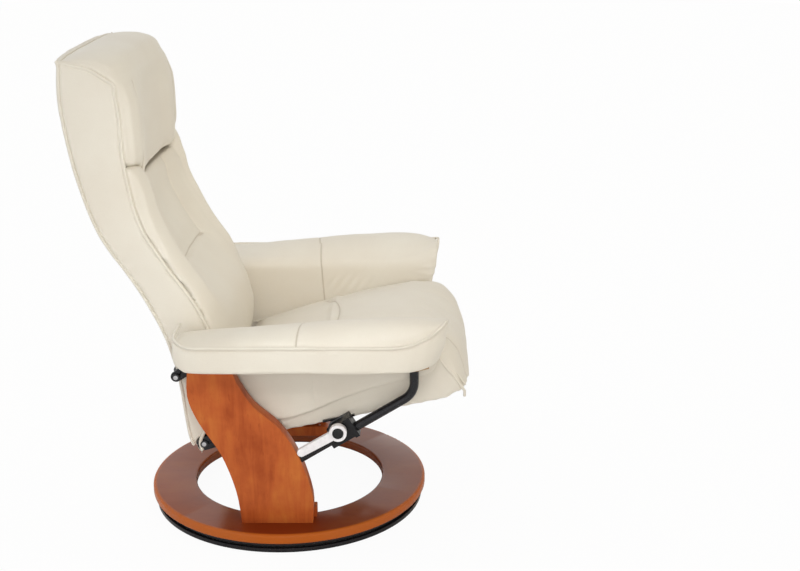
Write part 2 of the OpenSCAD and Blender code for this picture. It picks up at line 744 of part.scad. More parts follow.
// Ring of a back cushion along the stations ts, at one place across
function cushion_ring(ts, c, tuck) =
    let (t0 = ts[0], t1 = ts[len(ts) - 1],
         out = [for (t = ts) let (w = back_wide(t), y = c[0] * w + c[1],
                    p = piping_at(t), n = piping_normal(t),
                    soft = 1 - tuck * (bump((t - t0) * 7, 1) + bump((t1 - t) * 7, 1)),
                    s = front_swell(t, y, w) * soft + 0.6) [p[0] + n[0] * s, y, p[1] + n[1] * s]],
         under = [for (t = ts) let (w = back_wide(t), y = c[0] * w + c[1],
                    q = back_place(t, c[2] ? back_at(t)[2] + 0.35 : under_depth(t))) [q[0], y, q[1]]])
    concat(out, reversed(under));

module back_cushion() {
    color(leather) loft([for (c = reversed(across_list(14))) cushion_ring(lower_stations, c, 0.35)]);
}

module head_pillow() {
    color(leather) loft([for (c = reversed(across_list(12))) cushion_ring(upper_stations, c, 0.25)]);
}

// Plywood side boards of the back, with cross rails and springs between them
module right_back_board() {
    steps = 36;
    t0 = 2.2;
    t1 = 9.35;
    color(plywood) right_slab(board_y - back_board_t, board_y)
        polygon(concat([for (i = [0:steps]) back_place(t0 + (t1 - t0) * i / steps, frame_near)],
                       [for (i = [steps:-1:0]) let (t = t0 + (t1 - t0) * i / steps)
                           back_place(t, frame_reach(t))]));
}

back_rail_t = [2.6, 5.8, 9.1];
back_rail_w = 40;

// Local X across the back, Y up it, Z forward out of it
module in_back(t, d) {
    q = back_place(t, d);
    v = back_tangent(t);
    translate([q[0], 0, q[1]]) rotate([0, 90 - atan2(-v[0], v[1]), 0]) rotate([0, 0, 90]) children();
}

module back_rails() {
    half = board_y - back_board_t;
    color(plywood) for (t = back_rail_t) in_back(t, frame_near + 3)
        translate([-half, -back_rail_w / 2, 0]) cube([2 * half, back_rail_w, 18]);
}

// Flat sinuous wire along X
function wave(x, run, waves, swing) = [x, swing * sin(360 * waves * x / run)];
function wave_side(x, run, waves, swing, half) =
    let (a = wave(x - 0.5, run, waves, swing), b = wave(x + 0.5, run, waves, swing),
         v = (b - a) / norm(b - a))
    wave(x, run, waves, swing) + half * [-v[1], v[0]];

module sinuous_spring(run, waves, swing) {
    steps = waves * 8;
    linear_extrude(spring_wire) polygon(concat(
        [for (i = [0:steps]) wave_side(run * i / steps, run, waves, swing, spring_wire / 2)],
        [for (i = [steps:-1:0]) wave_side(run * i / steps, run, waves, swing, -spring_wire / 2)]));
}

module back_springs() {
    run = 2 * (board_y - back_board_t) - 0.6;
    color(bright_steel) for (t = [3.4, 4.2, 5, 6.6, 7.4, 8.2]) in_back(t, (frame_near + frame_far) / 2)
        translate([-run / 2, 0, 0]) sinuous_spring(run, 6, 18);
}

// Steel plate on each back board, carrying the pivot boss and the link pin
module right_hinge_plate() {
    color(black_steel) difference() {
        union() {
            right_slab(board_y, hinge_out) {
                translate(pivot) circle(r = lug_r);
                translate(back_pin) circle(r = lug_r);
                polygon(concat(
                    [pivot + [-1, lug_r * 0.98], back_place(3.08, frame_near + 0.5)],
                    [for (t = [3.25, 3.4, 3.6, 3.8, 4]) back_place(t, frame_near)],
                    [for (t = [4, 3.6, 3.2, 2.8, 2.5, 2.2, 2]) back_place(t, frame_reach(t))],
                    [back_pin + [lug_r * 0.98, lug_r * 0.2], back_pin + [-lug_r * 0.98, -lug_r * 0.2]],
                    [for (t = [2.3, 2.5, 2.75]) back_place(t, frame_near)],
                    [back_place(2.92, frame_near + 0.5), pivot + [1, -lug_r * 0.98]]));
            }
            right_pin(pivot, boss_r, hinge_out - 1, lug_in - 0.5);
        }
        right_pin(pivot, pin_r + run_fit, board_y - 1, lug_in);
        right_pin(back_pin, pin_r + run_fit, board_y - 1, hinge_out + 1);
    }
}

module back_link_pins() {
    color(bright_steel) both_sides() {
        right_pin(back_pin, pin_r, board_y - 2, link_in + link_t + 1);
        right_pin(back_pin, pin_head_r, link_in + link_t + 0.3, link_in + link_t + 0.3 + pin_head_t);
        right_pin(back_pin, pin_head_r, board_y - 5, board_y - 0.1);
    }
}

// Drag links: a round hole on the back's pin, a slot on the seat's pin. The slot takes up
// the bow between the pin's arc and the seat's straight glide.
module right_drag_link() {
    slot_r = pin_r + 0.8;
    slot_up = (sagitta + 0.6) * rail_up;
    end_r = link_half - 1;
    side = [-sin(link_angle), cos(link_angle)];
    color(black_steel) difference() {
        right_slab(link_in, link_in + link_t) difference() {
            union() {
                translate(back_pin) circle(r = link_half);
                translate(seat_pin) circle(r = end_r);
                polygon([back_pin - link_half * side, seat_pin - end_r * side,
                         seat_pin + end_r * side, back_pin + link_half * side]);
            }
            translate(seat_pin) circle(r = slot_r);
            translate(seat_pin + slot_up) circle(r = slot_r);
            polygon([seat_pin - slot_r * rail_dir, seat_pin + slot_r * rail_dir,
                     seat_pin + slot_up + slot_r * rail_dir, seat_pin + slot_up - slot_r * rail_dir]);
        }
        right_pin(back_pin, pin_r + run_fit, link_in - 1, link_in + link_t + 1);
    }
}

module link_tie_rod() {
    middle = (back_pin + seat_pin) / 2;
    color(black_steel) translate([middle[0], link_in, middle[1]]) rotate([90, 0, 0])
        cylinder(r = pin_r, h = 2 * link_in);
}

// Seat. seat_low is the height of its underside at x.
function seat_low(x) = seat_rear_low[1] + (x - seat_rear_low[0]) * tan(seat_slope);

// Local X forward along the underside from seat_rear_low, Z square to it
module in_seat() {
    translate([seat_rear_low[0], 0, seat_rear_low[1]]) rotate([0, -seat_slope, 0]) children();
}

function seat_out_line() = concat(
    [seat_rear_low + [0, seat_rear_rise]], curve(seat_top_points, 14),
    [for (i = [1:6]) curve_at(seat_front_points, 0.5 * i)],
    [[seat_front_low - 4, seat_low(seat_front_low - 4)]]);

function seat_out_normal(p, i) =
    let (a = at_point(p, i - 1), b = at_point(p, i + 1), v = b - a) [-v[1], v[0]] / norm(v);

// Ring of the seat cushion at y: over the top and down the front, back under the foam
function seat_ring(y, solid_to_floor) =
    let (s = abs(y) / seat_half, line = seat_out_line(), n = len(line) - 1,
         body = sqrt(max(0, 1 - pow(s, 5))),
         out = [for (i = [0:n]) let (p = line[i], v = seat_out_normal(line, i),
                    swell = lookup(p[0], [
                        [-95, seat_crown - 12], [0, seat_crown], [250, seat_crown + 2],
                        [300, seat_crown + 9], [331, seat_corner_swell],
                        [347, seat_corner_swell], [366, seat_corner_swell - 15],
                        [383, seat_front_swell]]),
                    seam = 8 * bump(p[0] - 105, 10) * ease((i - 1) / 3),
                    lift = (i < 2 || i == n) ? 0 : (swell - seam) * body)
                [p[0] + v[0] * lift, p[1] + v[1] * lift]],
         ends = [seat_rear_low[0] + 2, seat_front_low - 8],
         roof = seat_frame_space / cos(seat_slope),
         under = [for (i = [0:n]) let (x = ends[0] + (ends[1] - ends[0]) * i / n)
                    [x, seat_low(x) + (solid_to_floor || x > seat_front_low - 34 ? 0 : roof)]])
    [for (p = concat(out, reversed(under))) [p[0], y, p[1]]];

module seat_cushion() {
    edge = [[seat_half, true], [seat_half - 3, true], [seat_half - 8, true], [seat_in + 0.3, true],
            [seat_in, false]];
    inner = [0.905, 0.77, 0.635, 0.475, 0.32, 0.16];
    places = concat(edge, [for (f = inner) [f * seat_in, false]], [[0, false]],
                    [for (f = reversed(inner)) [-f * seat_in, false]],
                    [for (e = reversed(edge)) [-e[0], e[1]]]);
    color(leather) loft([for (c = reversed(places)) seat_ring(c[0], c[1])]);
}

// Steel side rails of the seat: a web with a foot, and the rear lug for the link pin
seat_run = (seat_front_low - 40 - seat_rear_low[0]) / cos(seat_slope);
seat_foot_w = 24;
seat_foot_t = 3;

module right_seat_rail() {
    color(black_steel) difference() {
        union() {
            in_seat() translate([12, -seat_rail_out, 0.3]) cube([seat_run - 10, seat_rail_t, seat_rail_h]);
            in_seat() translate([16, -seat_rail_out, 0.3]) cube([seat_run - 14, seat_foot_w, seat_foot_t]);
            right_slab(seat_rail_out - seat_rail_t, seat_rail_out) {
                translate(seat_pin) circle(r = lug_r);
                polygon([seat_pin + [-2, lug_r * 0.98], seat_rear_low + [-3, seat_rear_rise - 0.8],
                         seat_rear_low + [1.4, seat_rear_rise - 0.8], seat_rear_low + [4.2, 34],
                         seat_rear_low + [24, 34], seat_rear_low + [18, 4.5],
                         seat_pin + [2, -lug_r * 0.98]]);
            }
        }
        right_pin(seat_pin, pin_r + run_fit, seat_rail_out - seat_rail_t - 1, seat_rail_out + 1);
        clamp_bolt_places() translate([0, 0, -1]) cylinder(r = leg_screw_r + run_fit, h = 10);
    }
}

module seat_link_pins() {
    color(bright_steel) both_sides() {
        right_pin(seat_pin, pin_r, seat_rail_out - seat_rail_t - 2, link_in + link_t + 1);
        right_pin(seat_pin, pin_head_r, link_in + link_t + 0.3, link_in + link_t + 0.3 + pin_head_t);
        right_pin(seat_pin, pin_head_r, seat_rail_out - seat_rail_t - 5, seat_rail_out - seat_rail_t - 0.1);
    }
}

module seat_cross_rails() {
    half = seat_rail_out - seat_rail_t;
    color(black_steel) in_seat() for (x = [26, seat_cross_front])
        translate([x, -half, seat_foot_t + 0.5])
            cube([seat_cross_w, 2 * half, seat_rail_h - seat_foot_t - 0.5]);
}

module seat_springs() {
    run = seat_cross_front + seat_cross_w - 26;
    color(bright_steel) in_seat() for (i = [-2:2])
        translate([26, i * 0.34 * seat_rail_out, seat_rail_h + 0.1]) sinuous_spring(run, 9, 20);
}

module seat_dust_cover() {
    color([0.1, 0.1, 0.1]) in_seat() translate([20, -seat_rail_out + seat_foot_w + 0.5, 1.5])
        cube([seat_run - 20, 2 * (seat_rail_out - seat_foot_w - 0.5), 1.8]);
}

// Clamp block on the rail: a body with a flange at its upper end
module in_clamp(near, far) {
    translate([rail_foot[0], 0, rail_foot[1]]) rotate([0, -rail_slope, 0])
        translate([clamp_at, -near, 0]) rotate([90, 0, 0]) linear_extrude(far - near) children();
}

stud_place = rail_foot + stud_at * rail_dir + stud_up * rail_up;

module right_clamp_block() {
    color(black_steel) difference() {
        union() {
            in_clamp(clamp_in, clamp_out) polygon([[-31, -13], [22, -13], [22, 27], [-14, 27], [-31, 16]]);
            in_clamp(clamp_in, clamp_out + 1)
                polygon([[21, -16], [31, -16], [31, 30], [16, 30], [16, 27], [21, 25]]);
        }
        rail_frame(0) cylinder(r = rail_r + slide_fit, h = 2 * clamp_at);
        right_pin(stud_place, stud_r + run_fit, clamp_in + 6, clamp_out + 2);
    }
}

module clamp_bolt_places() {
    in_seat() for (x = [188, 232]) translate([x, -seat_rail_out + seat_rail_t + 9, 0]) children();
}

module right_clamp_bracket() {
    color(black_steel) difference() {
        union() {
            in_seat() translate([176, -clamp_in, -4.2])
                cube([68, clamp_in - seat_rail_out + seat_foot_w, 4]);
            in_clamp(web_in, clamp_in) polygon([[-31, 0], [31, 0], [31, 30], [-14, 30], [-31, 19]]);
        }
        rail_frame(0) cylinder(r = rail_r + 1, h = 2 * clamp_at);
        clamp_bolt_places() translate([0, 0, -6]) cylinder(r = leg_screw_r + run_fit, h = 10);
    }
}

module clamp_bolts() {
    color(bright_steel) both_sides() clamp_bolt_places() {
        translate([0, 0, -7.2]) cylinder(r = leg_screw_r + 2.5, h = 3);
        translate([0, 0, -5]) cylinder(r = leg_screw_r, h = 13);
        translate([0, 0, seat_foot_t + 0.4]) cylinder(r = leg_screw_r + 2.5, h = 4.5);
    }
}

module lever_studs() {
    color(bright_steel) both_sides()
        right_pin(stud_place, stud_r, clamp_in + 6.5, lever_in + lever_t - cap_t + 2);
}

// Locking lever: hub, tapered bar and round end, lying back along the rail
module right_lever() {
    slope = 30;
    dir = [-cos(slope), -sin(slope)];
    side = [sin(slope), -cos(slope)];
    tip_r = lever_end_w / 2;
    tip = stud_place + (lever_len - tip_r) * dir;
    color(bright_steel) difference() {
        union() {
            right_pin(stud_place, lever_hub_r, lever_in - 1.5, lever_in + lever_t + 1.5);
            right_slab(lever_in, lever_in + lever_t) {
                translate(tip) circle(r = tip_r);
                polygon([tip + tip_r * side, stud_place + (tip_r + 1) * side,
                         stud_place - (tip_r + 1) * side, tip - tip_r * side]);
            }
        }
        right_pin(stud_place, stud_r + run_fit, lever_in - 2, lever_in + lever_t + 2);
        right_pin(stud_place, cap_r + 0.1, lever_in + lever_t + 1.5 - cap_t + 1, lever_in + lever_t + 2);
    }
}

module right_lever_cap() {
    face = lever_in + lever_t + 1.5;
    color(black_steel) difference() {
        union() {
            right_pin(stud_place, cap_r, face - cap_t + 1, face + 1);
            right_pin(stud_place, cap_r - 2.5, face, face + 2.2);
        }
        right_pin(stud_place, stud_r + 0.3, face - cap_t, face - 1);
    }
}

floor_ring();
floor_pads();
ball_cage();
bearing_balls();
upper_race();
keeper_ring();
ring_screws();
wood_ring();
right_leg();
left() right_leg();  // left_leg
right_leg_cleat();
left() right_leg_cleat();  // left_leg_cleat
leg_screws();
stretcher_tube();
stretcher_plates();
stretcher_bolts();
right_rail();
left() right_rail();  // left_rail
right_arm_bar();
left() right_arm_bar();  // left_arm_bar
arm_bar_screws();
right_arm_board();
left() right_arm_board();  // left_arm_board
right_arm_cushion();
left() right_arm_cushion();  // left_arm_cushion
right_side_panel();
left() right_side_panel();  // left_side_panel
pivot_bolts();
back_shell();
back_cushion();
head_pillow();
right_back_board();
left() right_back_board();  // left_back_board
back_rails();
back_springs();
right_hinge_plate();
left() right_hinge_plate();  // left_hinge_plate
back_link_pins();
right_drag_link();
left() right_drag_link();  // left_drag_link
link_tie_rod();
seat_cushion();
right_seat_rail();
left() right_seat_rail();  // left_seat_rail
seat_cross_rails();
seat_springs();
seat_dust_cover();
seat_link_pins();
right_clamp_block();
left() right_clamp_block();  // left_clamp_block
right_clamp_bracket();
left() right_clamp_bracket();  // left_clamp_bracket
clamp_bolts();
lever_studs();
right_lever();
left() right_lever();  // left_lever
right_lever_cap();
left() right_lever_cap();  // left_lever_cap
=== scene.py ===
import json
import math

import bmesh
import bpy
from mathutils import Matrix, Vector, noise
from mathutils.bvhtree import BVHTree


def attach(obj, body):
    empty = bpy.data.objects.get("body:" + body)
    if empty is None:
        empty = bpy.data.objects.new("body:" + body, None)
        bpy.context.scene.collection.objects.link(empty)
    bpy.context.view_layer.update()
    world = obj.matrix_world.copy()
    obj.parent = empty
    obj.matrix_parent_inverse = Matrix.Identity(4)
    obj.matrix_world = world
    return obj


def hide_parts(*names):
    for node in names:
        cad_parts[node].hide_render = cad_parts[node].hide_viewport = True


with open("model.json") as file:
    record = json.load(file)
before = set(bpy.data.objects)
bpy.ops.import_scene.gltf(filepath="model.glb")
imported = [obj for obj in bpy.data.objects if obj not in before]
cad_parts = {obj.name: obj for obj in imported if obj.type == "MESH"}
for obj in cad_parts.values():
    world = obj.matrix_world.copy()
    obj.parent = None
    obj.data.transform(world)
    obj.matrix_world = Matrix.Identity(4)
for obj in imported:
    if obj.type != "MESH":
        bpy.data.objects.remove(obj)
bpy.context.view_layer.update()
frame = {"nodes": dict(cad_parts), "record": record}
solids = frame["nodes"]
bodies = frame["record"]["behaviour"]["bodies"]
bodyOf = {node: body for body, members in bodies.items() for node in members}
slotOf = {part["node"]: part["material_slot"] for part in frame["record"]["subparts"]}
print("solids loaded:", len(solids))


# Shader sums written as Python

class Wire:
    def __init__(self, tree, socket=None):
        self.tree = tree
        self.socket = socket

    def node(self, kind, settings=None, inputs=None, output=0):
        made = self.tree.nodes.new("ShaderNode" + kind)
        for name, value in (settings or {}).items():
            if name == "stops":
                marks = made.color_ramp.elements
                while len(marks) < len(value):
                    marks.new(0.5)
                for mark, (place, colour) in zip(marks, value):
                    mark.position = place
                    mark.color = (*colour, 1)
            else:
                setattr(made, name, value)
        for name, value in (inputs or {}).items():
            if isinstance(value, Wire):
                self.tree.links.new(value.socket, made.inputs[name])
            else:
                made.inputs[name].default_value = value
        return Wire(self.tree, made.outputs[output])

    def other(self, output):
        return Wire(self.tree, self.socket.node.outputs[output])

    def maths(self, operation, first, second=0.0):
        return self.node("Math", {"operation": operation}, {0: first, 1: second})

    def __add__(self, other):
        return self.maths("ADD", self, other)

    def __radd__(self, other):
        return self.maths("ADD", other, self)

    def __sub__(self, other):
        return self.maths("SUBTRACT", self, other)

    def __rsub__(self, other):
        return self.maths("SUBTRACT", other, self)

    def __mul__(self, other):
        return self.maths("MULTIPLY", self, other)

    def __rmul__(self, other):
        return self.maths("MULTIPLY", other, self)

    def __truediv__(self, other):
        return self.maths("DIVIDE", self, other)

    def __abs__(self):
        return self.maths("ABSOLUTE", self)

    def step(self, low, high):
        return self.node("MapRange", {"interpolation_type": "SMOOTHSTEP"}, {0: self, 1: low, 2: high})

    def between(self, low, high, soft):
        return self.step(low - soft, low + soft) * (1 - self.step(high - soft, high + soft))

    def feeds(self, *targets):
        for target in targets:
            self.tree.links.new(self.socket, target)


class Finish:
    def __init__(self, name, fixed):
        self.material = bpy.data.materials.new(name)
        self.material.use_nodes = True
        self.skin = self.material.node_tree.nodes["Principled BSDF"]
        for socket, value in fixed.items():
            self.skin.inputs[socket].default_value = value
        self.wire = Wire(self.material.node_tree)
        self.place = self.wire.node("TexCoord", output=3)
        self.x = self.wire.node("SeparateXYZ", None, {0: self.place})
        self.y = self.x.other(1)
        self.z = self.x.other(2)

    def stretched(self, scale, turn=(0, 0, 0)):
        return self.wire.node("Mapping", None, {"Vector": self.place, "Scale": scale, "Rotation": turn})

    def noise(self, scale, detail=3.0, rough=0.5, at=None, distortion=0.0):
        return self.wire.node("TexNoise", None, {
            "Vector": at or self.place, "Scale": scale, "Detail": detail, "Roughness": rough,
            "Distortion": distortion})

    def cells(self, scale, feature="F1", at=None):
        return self.wire.node("TexVoronoi", {"feature": feature}, {
            "Vector": at or self.place, "Scale": scale})

    def ramp(self, value, stops):
        return self.wire.node("ValToRGB", {"stops": stops}, {0: value})

    def mixed(self, share, first, second):
        return self.wire.node("Mix", {"data_type": "RGBA"}, {0: share, 6: first, 7: second}, output=2)

    def colour(self, wire):
        wire.feeds(self.skin.inputs["Base Color"])

    def rough(self, wire):
        wire.feeds(self.skin.inputs["Roughness"])

    def relief(self, height):
        self.wire.node("Bump", None, {"Strength": 1.0, "Distance": 1.0, "Height": height}).feeds(
            self.skin.inputs["Normal"])


# seam is the colour of the painted shade in the seams' and the grain's grooves
leatherLook = {
    "colour": (0.810, 0.768, 0.672, 1), "deep": (0.770, 0.715, 0.615, 1), "seam": (0.48, 0.400, 0.30, 1),
    "grainScale": 560, "grainDepth": 0.00009, "poreScale": 1500, "poreDepth": 0.00003,
    "softScale": 11, "softDepth": 0.0007, "roughLow": 0.40, "roughHigh": 0.52, "sheen": 0.12,
    "seamHalf": 0.0009, "seamSoft": 0.0012, "seamDepth": 0.0009}


def leatherFinish(name, seams=()):
    look = leatherLook
    made = Finish(name, {"Sheen Weight": look["sheen"], "Sheen Roughness": 0.5, "Specular IOR Level": 0.42})
    wide = made.noise(3.2, 2)
    fine = made.noise(look["softScale"], 3, 0.55)
    grain = made.cells(look["grainScale"], "DISTANCE_TO_EDGE")
    pores = made.noise(look["poreScale"], 2)
    line = None
    axes = {"x": made.x, "y": made.y, "z": made.z}
    for seam in seams:
        value = axes[seam["axis"]]
        if seam.get("both"):
            value = abs(value)
        if seam.get("bow"):
            value = value + axes[seam["bow"][0]] * axes[seam["bow"][0]] * seam["bow"][1]
        if seam.get("slant"):
            value = value + axes[seam["slant"][0]] * seam["slant"][1]
        gap = abs(value - seam["at"])
        mask = 1 - gap.step(look["seamHalf"], look["seamHalf"] + look["seamSoft"])
        for gate, low, high in seam["within"]:
            gateValue = abs(axes[gate.lower()]) if gate.isupper() else axes[gate]
            mask = mask * gateValue.between(low, high, 0.003)
        line = mask if line is None else line.maths("MAXIMUM", line, mask)
    tone = made.mixed((wide * 0.6 + fine * 0.4).step(0.35, 0.68), look["deep"], look["colour"])
    # painted shade: the grain's grooves are darkened a little towards the seam colour
    edges = grain.step(0.0, 0.09)
    tone = made.mixed((1 - edges) * 0.10, tone, look["seam"])
    height = edges * look["grainDepth"] + pores * look["poreDepth"] + fine * look["softDepth"]
    # painted shade: the seam lines are darkened along the grooves sunk into the relief
    if line is not None:
        tone = made.mixed(line * 0.48, tone, look["seam"])
        height = height - line * look["seamDepth"]
    made.colour(tone)
    made.rough(fine * (look["roughHigh"] - look["roughLow"]) + look["roughLow"])
    made.relief(height)
    return made.material


# the pores' dark colour is also the colour of the painted reflection on the ring
woodLook = {
    "dark": (0.300, 0.048, 0.010), "middle": (0.500, 0.110, 0.025), "light": (0.640, 0.200, 0.040),
    "edge": (0.52, 0.125, 0.016, 1), "streak": (0.18, 0.018, 0.002, 1), "coatRough": 0.12}


def woodFinish(name, stretch, coat, specular, spread, edgeMask=None, depth=1.0, shade=None):
    look = woodLook
    made = Finish(name, {"Coat Weight": coat, "Coat Roughness": look["coatRough"], "Coat IOR": 1.5,
                         "Specular IOR Level": specular})
    run = made.stretched(stretch)
    grain = made.noise(1.0, 7, 0.62, run, 0.6)
    cloud = made.noise(9, 4, 0.6)
    pores = made.noise(3.1, 4, 0.7, run)
    tone = made.ramp(grain * 0.48 + cloud * 0.52, [
        (0.50 - spread, [c * depth for c in look["dark"]]), (0.50, [c * depth for c in look["middle"]]),
        (0.52 + spread, [c * depth for c in look["light"]])])
    tone = made.mixed(pores.step(0.60, 0.72) * 0.35, tone, look["streak"])
    if shade:
        # painted reflection: where shade() is high, the colour is darkened towards the pores' dark colour and
        # the coat is thinned
        dim = shade(made)
        tone = made.mixed(dim * 0.68, tone, look["streak"])
        (coat * (1 - dim * 0.92)).feeds(made.skin.inputs["Coat Weight"])
    if edgeMask:
        tone = made.mixed(edgeMask(made), tone, look["edge"])
    made.colour(tone)
    made.rough(0.30 + cloud * 0.12)
    made.relief(pores * 0.00006 + made.noise(40, 2) * 0.00005)
    return made.material


def ringRadius(made):
    return (made.x * made.x + made.y * made.y).maths("SQRT", made.x * made.x + made.y * made.y)


def ringEdge(made):
    return ringRadius(made).step(0.300, 0.307) * 0.9


def ringShade(made):
    # Painted reflection: the leg stands over this part of the ring, and its dark reflection in the lacquer is
    # painted into the colour here, with the coat thinned; the rim stays matt and is darkened a little the
    # same way
    front = (0 - made.y).step(0.17, 0.26) * made.x.between(-0.09, 0.13, 0.07)
    return front.maths("MAXIMUM", front, ringRadius(made).step(0.302, 0.308) * 0.7)


def plainFinish(name, colour, rough, fixed=None, mottle=0.06, scale=60, depth=0.00002, metal=0.0):
    made = Finish(name, {"Metallic": metal, **(fixed or {})})
    cloud = made.noise(scale, 3)
    fine = made.noise(scale * 9, 2)
    made.colour(made.mixed(cloud.step(0.3, 0.7), (*[c * (1 - mottle) for c in colour], 1),
                           (*[min(1, c * (1 + mottle)) for c in colour], 1)))
    made.rough(cloud * 0.08 + (rough - 0.04))
    made.relief(cloud * depth + fine * depth * 0.6)
    return made.material


def plyFinish(name, axis):
    made = Finish(name, {"Specular IOR Level": 0.3})
    stack = getattr(made, axis) * 640
    layer = stack.maths("SINE", stack)
    grain = made.noise(1.0, 5, 0.6, made.stretched((8, 60, 60)))
    tone = made.mixed(layer.step(-0.2, 0.2), (0.42, 0.27, 0.14, 1), (0.62, 0.44, 0.25, 1))
    made.colour(made.mixed(grain.step(0.45, 0.7) * 0.5, tone, (0.33, 0.20, 0.10, 1)))
    made.rough(0.62 + grain * 0.12)
    made.relief(grain * 0.0002)
    return made.material


def clothFinish(name):
    made = Finish(name, {"Sheen Weight": 0.25})
    warp = (made.x * 4200).maths("SINE", made.x * 4200)
    weft = (made.y * 4200).maths("SINE", made.y * 4200)
    weave = (warp * weft).step(-0.5, 0.6)
    made.colour(made.mixed(weave, (0.010, 0.010, 0.011, 1), (0.035, 0.035, 0.038, 1)))
    made.rough(0.9 - made.noise(30, 2) * 0.1)
    made.relief(warp * weft * 0.00005)
    return made.material


finishes = {
    "leather": leatherFinish("plainLeather"),
    "wood": woodFinish("lacqueredLeg", (42, 42, 5), 0.05, 0.14, 0.20),
    "black_steel": plainFinish("glossBlackPaint", (0.009, 0.009, 0.012), 0.24,
                               {"Coat Weight": 0.15, "Coat Roughness": 0.12, "Specular IOR Level": 0.32},
                               0.25, 90, 0.00002),
    "bright_steel": plainFinish("platedSteel", (0.58, 0.58, 0.60), 0.30, None, 0.08, 120, 0.00001, 1.0),
    "lever": plainFinish("silverPaint", (0.90, 0.88, 0.90), 0.36, None, 0.05, 150, 0.00002),
    "plywood": plyFinish("plywoodFlat", "z"),
    "black_plastic": plainFinish("blackPlastic", (0.010, 0.010, 0.012), 0.36, {"Specular IOR Level": 0.30},
                                 0.3, 260, 0.00004),
    "nylon": plainFinish("nylon", (0.66, 0.64, 0.58), 0.5, {"Subsurface Weight": 0.1}, 0.04, 80, 0.00003),
    "cloth": clothFinish("dustCloth"),
    "rubber": plainFinish("padRubber", (0.03, 0.03, 0.03), 0.8, None, 0.3, 300, 0.00006)}


def boltFinish(name, places, dot):
    made = Finish(name, {})
    near = None
    for x, z in places:
        across, up = made.x - x, made.z - z
        off = (across * across + up * up).maths("SQRT", across * across + up * up)
        spot = 1 - off.step(dot, dot + 0.0008)
        near = spot if near is None else near.maths("MAXIMUM", near, spot)
    speck = made.noise(300, 2)
    made.colour(made.mixed(near, (0.014, 0.014, 0.017, 1), (0.55, 0.55, 0.57, 1)))
    near.feeds(made.skin.inputs["Metallic"])
    made.rough(0.30 + speck * 0.1)
    made.relief(speck * 0.00003)
    return made.material


boltPlaces = [(-0.204, 0.377), (-0.15685, 0.21784), (-0.09918, 0.23437)]
darkBolts = boltFinish("darkBolts", boltPlaces, 0.0042)
ringFinish = woodFinish("lacqueredRing", (7, 22, 22), 0.76, 0.08, 0.42, ringEdge, 0.56, ringShade)
plyUpright = plyFinish("plywoodUpright", "y")
for node, solid in solids.items():
    solid.data.materials.clear()
    solid.data.materials.append(finishes[slotOf[node]])
solids["wood_ring"].data.materials[0] = ringFinish
for node in ("right_back_board", "left_back_board"):
    solids[node].data.materials[0] = plyUpright
for node in ("pivot_bolts", "back_link_pins", "seat_link_pins"):
    solids[node].data.materials[0] = darkBolts
print("finishes made:", len(bpy.data.materials))


# Making pieces

def clamp(value, low=0.0, high=1.0):
    return max(low, min(high, value))


def ease(value):
    c = clamp(value)
    return c * c * (3 - 2 * c)


def hill(value, width):
    return math.exp(-(value / width) ** 2)


def crease(value, width):
    return math.exp(-abs(value) / width)


def alongPoints(points, t):
    # Catmull-Rom, t counted in points
    i = min(int(t), len(points) - 2)
    u = t - i
    a, b, c, d = (points[max(0, min(len(points) - 1, k))] for k in (i - 1, i, i + 1, i + 2))
    return [0.5 * (2 * q + (r - p) * u + (2 * p - 5 * q + 4 * r - s) * u * u
                   + (3 * q - p - 3 * r + s) * u ** 3) for p, q, r, s in zip(a, b, c, d)]


def fromSolid(name, *nodes):
    work = bmesh.new()
    for node in nodes:
        work.from_mesh(solids[node].data)
    bmesh.ops.remove_doubles(work, verts=work.verts[:], dist=0.00001)
    mesh = bpy.data.meshes.new(name)
    work.to_mesh(mesh)
    work.free()
    piece = bpy.data.objects.new(name, mesh)
    bpy.context.collection.objects.link(piece)
    return piece


def settle(piece):
    # The modifiers' result becomes the mesh
    graph = bpy.context.evaluated_depsgraph_get()
    done = bpy.data.meshes.new_from_object(piece.evaluated_get(graph))
    piece.modifiers.clear()
    piece.data = done


def shadeByAngle(piece, degrees):
    work = bmesh.new()
    work.from_mesh(piece.data)
    for face in work.faces:
        face.smooth = True
    for edge in work.edges:
        edge.smooth = edge.calc_face_angle(0) < math.radians(degrees)
    work.to_mesh(piece.data)
    work.free()


def finishPiece(piece, body, material, slot, *nodes):
    piece.data.materials.clear()
    piece.data.materials.append(material)
    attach(piece, body)
    if nodes:
        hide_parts(*nodes)
    return piece


# Hard parts: the solids with their edges broken, so that they catch the light

edgeRound = {
    "right_leg": 0.0030, "left_leg": 0.0030, "right_leg_cleat": 0.0015, "left_leg_cleat": 0.0015,
    "wood_ring": 0.0, "floor_ring": 0.0008, "upper_race": 0.0008, "keeper_ring": 0.0005,
    "right_rail": 0.0, "left_rail": 0.0, "right_arm_bar": 0.0008, "left_arm_bar": 0.0008,
    "right_clamp_block": 0.0014, "left_clamp_block": 0.0014,
    "right_clamp_bracket": 0.0007, "left_clamp_bracket": 0.0007,
    "right_lever": 0.0024, "left_lever": 0.0024, "right_lever_cap": 0.0007, "left_lever_cap": 0.0007,
    "right_hinge_plate": 0.0006, "left_hinge_plate": 0.0006,
    "right_drag_link": 0.0007, "left_drag_link": 0.0007,
    "pivot_bolts": 0.0010, "stretcher_tube": 0.0, "stretcher_plates": 0.0008, "link_tie_rod": 0.0006,
    "stretcher_bolts": 0.0005, "clamp_bolts": 0.0005, "back_link_pins": 0.0005, "seat_link_pins": 0.0005,
    "right_seat_rail": 0.0006, "left_seat_rail": 0.0006, "seat_cross_rails": 0.0008}


def camelName(node):
    first, *rest = node.split("_")
    return first + "".join(word.capitalize() for word in rest)


